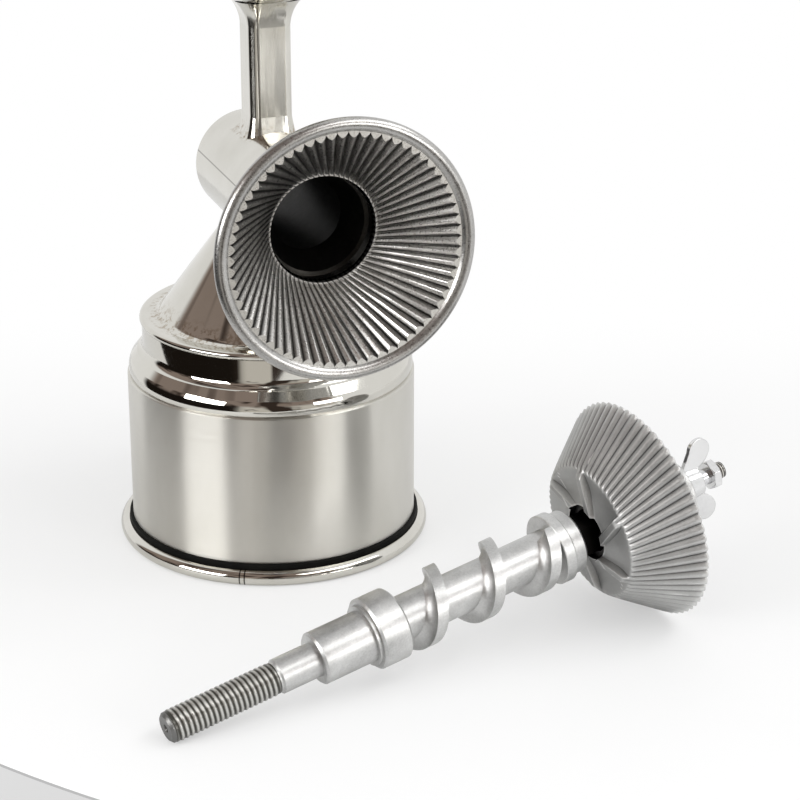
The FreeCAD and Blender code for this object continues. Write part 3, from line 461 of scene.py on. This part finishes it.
def mouth_ribs(tree, where):
    """Painted highlight on the crests of the outer burr's ribs, painted shade in the grooves, and an even
    tone off them.
    """
    x, y, z = apart(tree, where)
    rise = sums(tree, "SUBTRACT", z, BARREL_Z)
    radius = radius_of(tree, x, rise)
    first = math.radians(MOUTH_CREST + 180 / RIBS) + math.asin(RIB_LEAN * MM / MOUTH_R)
    turn = sums(tree, "ADD", sums(tree, "ARCTAN2", rise, x),
                sums(tree, "ARCSINE", sums(tree, "DIVIDE", RIB_LEAN * MM, radius)))
    pitch = sums(tree, "MULTIPLY", sums(tree, "SUBTRACT", turn, first), RIBS / (2 * math.pi))
    # crest mask: painted highlight on the crests, painted shade in the grooves
    crest = spread(tree, sums(tree, "PINGPONG", pitch, 0.5), 0.0, 1.0, 0.02, 0.30)
    slope = (MOUTH_R - THROAT_R) / (MOUTH_Y - THROAT_Y)
    cone = sums(tree, "ADD", THROAT_R, sums(tree, "MULTIPLY", sums(tree, "SUBTRACT", y, THROAT_Y), slope))
    beyond = sums(tree, "SUBTRACT", radius, cone)
    outside = spread(tree, beyond, 0.0, 1.0, GROOVE_FLOOR, GROOVE_FLOOR + 0.3 * MM)
    rim = spread(tree, y, 1.0, 0.0, MOUTH_Y - 0.15 * MM, MOUTH_Y + 0.05 * MM)
    plain = sums(tree, "MAXIMUM", outside, rim)
    return sums(tree, "ADD", crest, sums(tree, "MULTIPLY", plain, sums(tree, "SUBTRACT", RIM_TONE, crest)))


def burr_metal(name, groove_shade, crest, rough, bare, painted_light):
    """Cast burr: grain, painted shade between the ribs and painted highlights on them as the given tone
    says, and flat machined rib ends.
    """
    material, tree, shader, where = new_material(name)
    fine = fine_grain(tree, where)
    tone = sums(tree, "MULTIPLY", painted_light(tree, where), spread(tree, noise(tree, where, 70, 5.0), 0.86, 1.08))
    tone = sums(tree, "MULTIPLY", tone, spread(tree, fine, 0.92, 1.07))
    normal = tree.nodes.new("ShaderNodeNewGeometry").outputs["Normal"]
    facing = spread(tree, along(tree, normal, (0.0, -1.0, 0.0)), 0.0, 1.0, 0.93, 0.98)
    ends = sums(tree, "MULTIPLY", near(tree, apart(tree, where)["Y"], MOUTH_Y, 0.7 * MM), facing)
    # valley to crest colours: painted shade in the grooves, painted highlight on the crests
    colour = blend(tree, ends, ramp(tree, tone, [(0.0, groove_shade), (1.0, crest)]), RIB_END_STEEL)
    metal(tree, shader, colour, spread(tree, fine, *rough), bare)
    bump(tree, shader, fine, 0.04 * MM)
    return material


def auger_metal():
    """The auger's casting, painted black on the tang as its shade, its tail's end darker, with a black dot
    painted as the shade of a drilled centre.
    """
    material, tree, shader, where = new_material("auger_iron")
    fine = fine_grain(tree, where)
    tone = casting_tone(tree, where, fine)
    iron = ramp(tree, tone, [(0.3, (0.38, 0.38, 0.375)), (0.7, (0.69, 0.69, 0.68))])
    station, radius = about_auger(tree, where)
    # painted shade: the tang is painted black
    tang = spread(tree, station, 0.0, 1.0, TANG_START, TANG_START + 0.3 * MM)
    tail = spread(tree, station, 1.0, 0.0, THREAD_START, THREAD_START + 0.4 * MM)
    # a black dot painted as the shade of the drilled centre; the rest of the end face a darker grey
    drilled = spread(tree, radius, 0.0, 1.0, CENTRE_HOLE_SHADE, 1.5 * CENTRE_HOLE_SHADE)
    skin = ramp(tree, drilled, [(0.0, (0.01, 0.01, 0.01)), (1.0, (0.17, 0.17, 0.165))])
    colour = blend(tree, tail, blend(tree, tang, iron, TANG_SHADE), skin)
    metal(tree, shader, colour, spread(tree, fine, 0.32, 0.47))
    bump(tree, shader, fine, 0.06 * MM)
    return material


def threaded_metal(name, dark, light, root, crest):
    """Metal of a thread about the auger's axis: painted shade at its roots, painted highlight on its
    crests.
    """
    material, tree, shader, where = new_material(name)
    _, radius = about_auger(tree, where)
    fine = fine_grain(tree, where)
    # tone by distance from the axis: painted shade at the roots, painted highlight on the crests
    tone = sums(tree, "MULTIPLY", spread(tree, radius, 0.0, 1.0, root, crest), spread(tree, fine, 0.8, 1.1))
    metal(tree, shader, ramp(tree, tone, [(0.1, dark), (0.85, light)]), spread(tree, fine, 0.25, 0.4))
    bump(tree, shader, fine, 0.03 * MM)
    return material


def plastic(name, dark, light, rough, shine=0.5):
    """Moulded plastic or rubber with a fine grain."""
    material, tree, shader, where = new_material(name)
    colour = ramp(tree, noise(tree, where, 120, 4.0), [(0.3, dark), (0.7, light)])
    fine = noise(tree, where, 1800, 2.0)
    metal(tree, shader, colour, spread(tree, fine, *rough), 0.0)
    shader.inputs["Specular IOR Level"].default_value = shine
    bump(tree, shader, fine, 0.03 * MM)
    return material


MIRROR = polished_steel("mirror_steel")
DRUM = drum_steel()
CONE = polished_steel("cone_steel", marks=pedestal_marks)
LID = polished_steel("lid_steel", marks=plate_marks)
TUBE = polished_steel("barrel_steel", (0.10, 0.2), barrel_marks)
NECK = drawn_steel()
RING = polished_steel("ring_steel", marks=ring_marks)
# the burrs' valley colours are painted shade, their crest colours painted highlight
BURR = burr_metal("burr_iron", (0.03, 0.029, 0.028), (0.64, 0.63, 0.61), (0.24, 0.36), 1.0, mouth_ribs)
CONE_IRON = burr_metal("cone_iron", (0.07, 0.07, 0.07), (0.62, 0.62, 0.61), (0.36, 0.50), 0.8, edge_highlight_hollow_shade)
AUGER_IRON = auger_metal()
ZINC = satin_metal("zinc", (0.60, 0.60, 0.61), (0.74, 0.74, 0.75), (0.12, 0.25))
BRIGHT_ZINC = satin_metal("bright_zinc", (0.68, 0.68, 0.68), (0.82, 0.82, 0.82), (0.08, 0.18),
                          0.02 * MM, 0.5 * MM)
BRASS = satin_metal("brass", (0.52, 0.36, 0.14), (0.66, 0.48, 0.22), (0.2, 0.32))
# near-black iron: painted shade inside the throat's bushes and sleeve and in the cone burr's hole and bore
INTERIOR_SHADE = satin_metal("interior_shade_iron", (0.018, 0.017, 0.016), (0.05, 0.048, 0.045), (0.35, 0.5))
SPRING_STEEL = satin_metal("spring_steel", (0.30, 0.30, 0.31), (0.42, 0.42, 0.43), (0.25, 0.4))
RUBBER = plastic("rubber", (0.003, 0.003, 0.003), (0.007, 0.007, 0.006), (0.5, 0.65), 0.06)
BLACK = plastic("black_plastic", (0.014, 0.014, 0.014), (0.028, 0.027, 0.026), (0.25, 0.4))
TAIL_THREAD = threaded_metal("tail_thread", (0.07, 0.068, 0.06), (0.60, 0.595, 0.57),
                             TAIL_R, TAIL_R + THREAD_HIGH)
STUD_THREAD = threaded_metal("stud_thread", (0.06, 0.058, 0.055), (0.62, 0.60, 0.56),
                             STUD_R, STUD_R + STUD_HIGH)

FINISH = {
    "base_shell": DRUM, "top_plate": LID, "base_ring": RING, "suction_pad": RUBBER,
    "pedestal": CONE, "barrel": TUBE, "hopper_neck": NECK, "hopper_bowl": MIRROR,
    "rear_bush": INTERIOR_SHADE, "feed_sleeve": INTERIOR_SHADE, "shaft_bush": BRASS, "guide_bush": BRASS,
    "outer_burr": BURR, "auger": AUGER_IRON, "inner_burr": CONE_IRON, "burr_stud": ZINC,
    "wing_nut": BRIGHT_ZINC, "stop_nut": BRIGHT_ZINC, "return_spring": SPRING_STEEL,
    "carrier_plate": ZINC, "shaft_bracket": ZINC, "bracket_screws": ZINC,
    "pull_rod": ZINC, "pad_plate": ZINC, "cam": ZINC,
    "lever": ZINC, "lever_shaft": ZINC, "lever_nut": ZINC, "lever_grip": BLACK,
    "crank_arm": MIRROR, "knob_spindle": ZINC, "crank_knob": BLACK,
}


def dress(node, material):
    """Give a CAD node its finish."""
    slots = NODES[node].data.materials
    slots.clear()
    slots.append(material)


for node_name in NODES:
    dress(node_name, FINISH[node_name])


# Meshes

def add_mesh(name, points, faces, *materials):
    """A new mesh object in the scene."""
    mesh = bpy.data.meshes.new(name)
    mesh.from_pydata(points, [], faces)
    for material in materials:
        mesh.materials.append(material)
    piece = bpy.data.objects.new(name, mesh)
    bpy.context.scene.collection.objects.link(piece)
    return piece


def closed_skin(rings, sides):
    """Quads between rings of points, each ring closed and the last one joined to the first."""
    faces = []
    for row in range(rings):
        here = row * sides
        there = (row + 1) % rings * sides
        for k in range(sides):
            after = (k + 1) % sides
            faces.append((here + k, here + after, there + after, there + k))
    return faces


# Threads

def thread(name, start, end, pitch, inner, root, high, material):
    """A closed threaded sleeve about the auger's axis, its ridge fading out at both ends."""
    rows = int((end - start) / pitch * THREAD_ROWS)
    side = AUGER_AXIS.orthogonal().normalized()
    other = AUGER_AXIS.cross(side)
    points = []

    def add(station, radius, k):
        turn = 2 * math.pi * k / THREAD_SIDES
        points.append(AUGER_TIP + AUGER_AXIS * station
                      + (side * math.cos(turn) + other * math.sin(turn)) * radius)

    for row in range(rows + 1):
        station = start + (end - start) * row / rows
        fade = min(1.0, (station - start) / pitch, (end - station) / pitch)
        for k in range(THREAD_SIDES):
            phase = (station / pitch - k / THREAD_SIDES) % 1.0
            flank = FLANK_STEEP * (0.5 - abs(phase - 0.5)) - ROOT_WIDE
            add(station, root + high * fade * min(1.0, max(0.0, flank)), k)
    for station in (end, start):
        for k in range(THREAD_SIDES):
            add(station, inner, k)
    piece = add_mesh(name, points, closed_skin(rows + 3, THREAD_SIDES), material)
    for polygon in piece.data.polygons:
        polygon.use_smooth = True
    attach(piece, "auger")


thread("tail_thread", THREAD_START, THREAD_END, THREAD_PITCH, TAIL_R - 0.6 * MM, TAIL_R + 0.02 * MM,
       THREAD_HIGH, TAIL_THREAD)
thread("stud_thread", STUD_START, STUD_END, STUD_PITCH, STUD_R - 0.5 * MM, STUD_R + 0.01 * MM,
       STUD_HIGH, STUD_THREAD)


# Return spring

def coil_spring():
    """The spring under the carrier plate, which the pull rod's plate shortens from below: here a rigid copy
    of the CAD node's mesh on the mill's body, in place of the node.
    """
    piece = bpy.data.objects.new("coil_spring", NODES["return_spring"].data.copy())
    bpy.context.scene.collection.objects.link(piece)
    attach(piece, "mill")
    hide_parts("return_spring")
    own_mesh(piece)


coil_spring()


# Cone burr

def smooth(low, high, value):
    """Smooth step from 0 to 1."""
    share = min(1.0, max(0.0, (value - low) / (high - low)))
    return share * share * (3 - 2 * share)


def cone_station(crest):
    """Station of the crests where they have a radius."""
    return NOSE_AT + (crest - NOSE_R) / CONE_SLOPE


def nose_station(crest, aside):
    """Station of the nose at a radius and a distance aside of a blade: dished pockets, proud blades."""
    share = min(1.0, max(0.0, (NOSE_R - crest) / (NOSE_R - NOSE_HOLE)))
    off_blade = smooth(0.0, BLADE_FLANK, aside - BLADE_HALF)
    dish = DISH * math.sin(math.pi * share) * off_blade
    blade = BLADE_HIGH * (1 - off_blade) * smooth(0.0, BLADE_RISE, share)
    face = NOSE_AT - NOSE_DOME * share + dish - blade
    slope = cone_station(crest)
    return (slope + face + math.hypot(slope - face, NOSE_ROUND)) / 2


def cone_burr():
    """The hollow ribbed cone on its hub, in one closed skin of rings whose columns follow the ribs."""
    columns = RIBS * RIB_STEPS
    tilt = math.atan2(CONE_R - TAIL_R / MM, CONE_TOUCH)
    heading = math.atan2(AUGER_AXIS.y, AUGER_AXIS.x)
    down = Matrix.Rotation(heading, 3, "Z") @ Vector((math.sin(tilt), 0, -math.cos(tilt)))
    side = AUGER_AXIS.cross(down)
    groove = [(1 - abs(2 * j / RIB_STEPS - 1)) ** RIB_SHARP for j in range(RIB_STEPS)]
    points = []

    def ring(shape):
        """Add a ring: shape gives each column's angle, radius and station."""
        for column in range(columns):
            angle, radius, station = shape(column)
            points.append(AUGER_TIP + (AUGER_AXIS * station
                                       + (down * math.cos(angle) + side * math.sin(angle)) * radius) * MM)

    def rings():
        return len(points) // columns

    def lean(radius):
        return math.asin(RIB_LEAN / radius) - math.asin(RIB_LEAN / CONE_R)

    def angle_of(column):
        return math.radians(180 - RIB_CREST) + 2 * math.pi * column / columns

    def ribbed(crest, station, depth):
        def shape(column):
            return angle_of(column) + lean(crest), crest - depth * groove[column % RIB_STEPS], station
        return shape

    def plain(radius, station):
        return lambda column: (angle_of(column) + lean(NOSE_R), radius, station)

    def nose(crest):
        def shape(column):
            angle = angle_of(column) + lean(max(crest, NOSE_R))
            if crest < NOSE_R:
                angle += math.asin(BLADE_OFF / crest) - math.asin(BLADE_OFF / NOSE_R)
            pitch = math.radians(360 / BLADES)
            first = math.radians(180 + BLADE_TURN)
            off = (angle_of(column) + lean(NOSE_R) - first + pitch / 2) % pitch - pitch / 2
            aside = abs(off) * math.sqrt(crest * crest - BLADE_OFF * BLADE_OFF)
            fade = smooth(NOSE_R - RIB_FADE[0], NOSE_R + RIB_FADE[1], crest)
            depth = RIB_END_DEEP * groove[column % RIB_STEPS] * fade
            return angle, crest - depth, nose_station(crest, aside)
        return shape

    ring(ribbed(CONE_R - CONE_BEVEL, CONE_BACK, RIB_DEEP))
    ring(ribbed(CONE_R, CONE_BACK - CONE_BEVEL, RIB_DEEP))
    bend = NOSE_R + NOSE_BEND
    for k in range(CONE_ROWS):
        share = k / CONE_ROWS
        crest = CONE_R + (bend - CONE_R) * share
        ring(ribbed(crest, cone_station(crest), RIB_DEEP + (RIB_END_DEEP - RIB_DEEP) * share))
    for k in range(NOSE_ROWS + 1):
        ring(nose(bend + (NOSE_HOLE - bend) * k / NOSE_ROWS))
    # rings from here to last_dark line the nose's hole, the bore and the stud hole, which get the
    # near-black painted shade
    first_dark = rings() - 1
    for radius, station in ((NOSE_HOLE, HOLE_FLOOR), (BORE_R, HOLE_FLOOR), (BORE_R, BORE_FLOOR),
                            (STUD_HOLE, BORE_FLOOR), (STUD_HOLE, HUB_BACK)):
        ring(plain(radius, station))
    last_dark = rings() - 1
    for radius, station in ((HUB_R - HUB_BEVEL, HUB_BACK), (HUB_R, HUB_BACK - HUB_BEVEL),
                            (HUB_R, WEB_BACK + WEB_ROUND), (HUB_R + WEB_ROUND, WEB_BACK),
                            (WEB_R, WEB_BACK), (WEB_R + WEB_RISE[0], WEB_BACK + WEB_RISE[1]),
                            (CONE_INSIDE, CONE_BACK - CONE_LIP), (CONE_INSIDE, CONE_BACK)):
        ring(plain(radius, station))
    faces = [(a, d, c, b) for a, b, c, d in closed_skin(rings(), columns)]
    piece = add_mesh("cone_burr", points, faces, CONE_IRON, INTERIOR_SHADE)
    for polygon in piece.data.polygons:
        polygon.use_smooth = True
        polygon.material_index = int(first_dark <= polygon.index // columns < last_dark)
    piece.data.set_sharp_from_angle(angle=math.radians(CREASE_ANGLE))
    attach(piece, "inner_burr")
    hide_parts("inner_burr")


cone_burr()


# Floor, world, lamps and camera

def bearing(degrees):
    """Level direction seen from the mill: 0 is towards the camera, more is towards the picture's right."""
    turn = math.radians(degrees)
    return -AWAY * math.cos(turn) + Vector((AWAY.y, -AWAY.x, 0.0)) * math.sin(turn)


def mixed_shader(tree, factor, first, second):
    """Two shaders mixed by a factor."""
    node = tree.nodes.new("ShaderNodeMixShader")
    tree.links.new(factor, node.inputs["Fac"])
    tree.links.new(first, node.inputs[1])
    tree.links.new(second, node.inputs[2])
    return node.outputs["Shader"]


def table_paint():
    """White paint that the camera sees run into the backdrop's white, with painted shade on its side and a
    dark painted line under the rim.
    """
    material, tree, shader, where = new_material("floor")
    shader.inputs["Roughness"].default_value = 0.6
    shader.inputs["Specular IOR Level"].default_value = 0.3
    normal = tree.nodes.new("ShaderNodeNewGeometry").outputs["Normal"]
    rise = along(tree, normal, (0.0, 0.0, 1.0))
    upper = spread(tree, rise, 0.0, 1.0, 0.7, 0.95)
    # by how the surface faces: painted shade on the side, a darker painted line on the rim
    edge = ramp(tree, rise, [(0.1, TABLE_SIDE_SHADE), (0.3, TABLE_RIM_SHADE), (0.5, TABLE_RIM_SHADE), (0.8, TABLE_TONE[0])])
    top = ramp(tree, noise(tree, where, 6, 3.0), [(0.3, TABLE_TONE[0]), (0.7, TABLE_TONE[1])])
    tree.links.new(blend(tree, upper, edge, top), shader.inputs["Base Color"])
    white = tree.nodes.new("ShaderNodeEmission")
    depth = along(tree, vectors(tree, "ADD", where, TABLE_AT), AWAY)
    fade = spread(tree, depth, TABLE_WHITE, 1.0, *TABLE_FADE, True)
    path = tree.nodes.new("ShaderNodeLightPath")
    seen = sums(tree, "MULTIPLY", path.outputs["Is Camera Ray"], sums(tree, "MULTIPLY", fade, upper))
    mix = mixed_shader(tree, seen, shader.outputs["BSDF"], white.outputs["Emission"])
    output = next(node for node in tree.nodes if node.type == "OUTPUT_MATERIAL")
    tree.links.new(mix, output.inputs["Surface"])
    return material


def make_floor():
    """Round white table with a rounded rim."""
    profile = [(TABLE_R - TABLE_RIM, 0.0), (TABLE_R - 0.3 * TABLE_RIM, -0.3 * TABLE_RIM),
               (TABLE_R, -TABLE_RIM), (TABLE_R, -TABLE_RIM - TABLE_THICK)]
    sides = 360
    rings = len(profile)
    points = [(0.0, 0.0, 0.0)]
    faces = []
    for k in range(sides):
        turn = 2 * math.pi * k / sides
        points += [(r * math.cos(turn), r * math.sin(turn), z) for r, z in profile]
        here = 1 + k * rings
        there = 1 + (k + 1) % sides * rings
        faces.append((0, here, there))
        faces += [(here + j, here + j + 1, there + j + 1, there + j) for j in range(rings - 1)]
    floor = add_mesh("floor", points, faces, table_paint())
    floor.location = TABLE_AT


def make_world():
    """White backdrop, and a dim brown room on the camera's side that only gloss sees."""
    world = bpy.data.worlds.new("studio")
    bpy.context.scene.world = world
    world.use_nodes = True
    tree = world.node_tree
    tree.nodes.clear()
    output = tree.nodes.new("ShaderNodeOutputWorld")
    direction = tree.nodes.new("ShaderNodeTexCoord").outputs["Generated"]
    height = apart(tree, direction)["Z"]

    def background(colour, strength=1.0):
        node = tree.nodes.new("ShaderNodeBackground")
        node.inputs["Strength"].default_value = strength
        if isinstance(colour, tuple):
            node.inputs["Color"].default_value = (*colour, 1.0)
        else:
            tree.links.new(colour, node.inputs["Color"])
        return node.outputs["Background"]

    def patches(colour, *places):
        return ramp(tree, clutter, list(zip(places, (ROOM_DARK, colour, colour, ROOM_DARK))))

    clutter = noise(tree, stretched(tree, direction, (1.0, 1.0, 0.5)), CLUTTER, 2.0, 0.5)
    black = spread(tree, along(tree, direction, bearing(ROOM_BLACK_SIDE)), 0.0, 1.0, 0.35, 0.6, True)
    low = blend(tree, black, patches(ROOM_GREY, 0.40, 0.52, 0.60, 0.66), ROOM_BLACK)
    high = patches(ROOM_BROWN, 0.38, 0.47, 0.58, 0.64)
    room = blend(tree, spread(tree, height, 0.0, 1.0, 0.05, 0.3, True), low, high)
    front = spread(tree, along(tree, direction, bearing(ROOM_MIDDLE)), 0.0, 1.0, 0.02, 0.16, True)
    seen = blend(tree, front, BACKDROP, room)
    path = tree.nodes.new("ShaderNodeLightPath")
    gloss = mixed_shader(tree, path.outputs["Is Glossy Ray"], background((1, 1, 1), FILL), background(seen))
    shown = mixed_shader(tree, path.outputs["Is Camera Ray"], gloss, background((1, 1, 1)))
    tree.links.new(shown, output.inputs["Surface"])


def area_lamp(name, side, height, distance, size, radiance):
    """A softbox facing the mill from a bearing and a height in degrees, as bright as a mirror shows it."""
    at = bearing(side) * distance * math.cos(math.radians(height))
    at.z = distance * math.sin(math.radians(height))
    data = bpy.data.lights.new(name, "AREA")
    data.shape = "RECTANGLE"
    data.size, data.size_y = size
    data.energy = radiance * math.pi * size[0] * size[1]
    lamp = bpy.data.objects.new(name, data)
    bpy.context.scene.collection.objects.link(lamp)
    lamp.location = at
    lamp.rotation_mode = "QUATERNION"
    lamp.rotation_quaternion = (LAMP_AIM - at).to_track_quat("-Z", "Y")


def make_camera():
    """The camera at the photograph's place."""
    data = bpy.data.cameras.new("camera")
    data.lens = CAMERA_LENS
    data.sensor_width = CAMERA_SENSOR
    data.clip_start = 0.05
    data.clip_end = 20.0
    camera = bpy.data.objects.new("camera", data)
    bpy.context.scene.collection.objects.link(camera)
    camera.location = CAMERA_AT
    camera.rotation_mode = "QUATERNION"
    camera.rotation_quaternion = (CAMERA_AIM - CAMERA_AT).to_track_quat("-Z", "Y")
    bpy.context.scene.camera = camera


make_floor()
make_world()
area_lamp("soft_left", side=-51, height=19, distance=1.1, size=(0.66, 0.36), radiance=9.0)
area_lamp("soft_right", side=62, height=50, distance=1.1, size=(1.1, 0.26), radiance=4.0)
area_lamp("low_right", side=47, height=14, distance=1.2, size=(0.5, 0.3), radiance=5.4)
make_camera()
bpy.context.scene.view_settings.view_transform = "Standard"
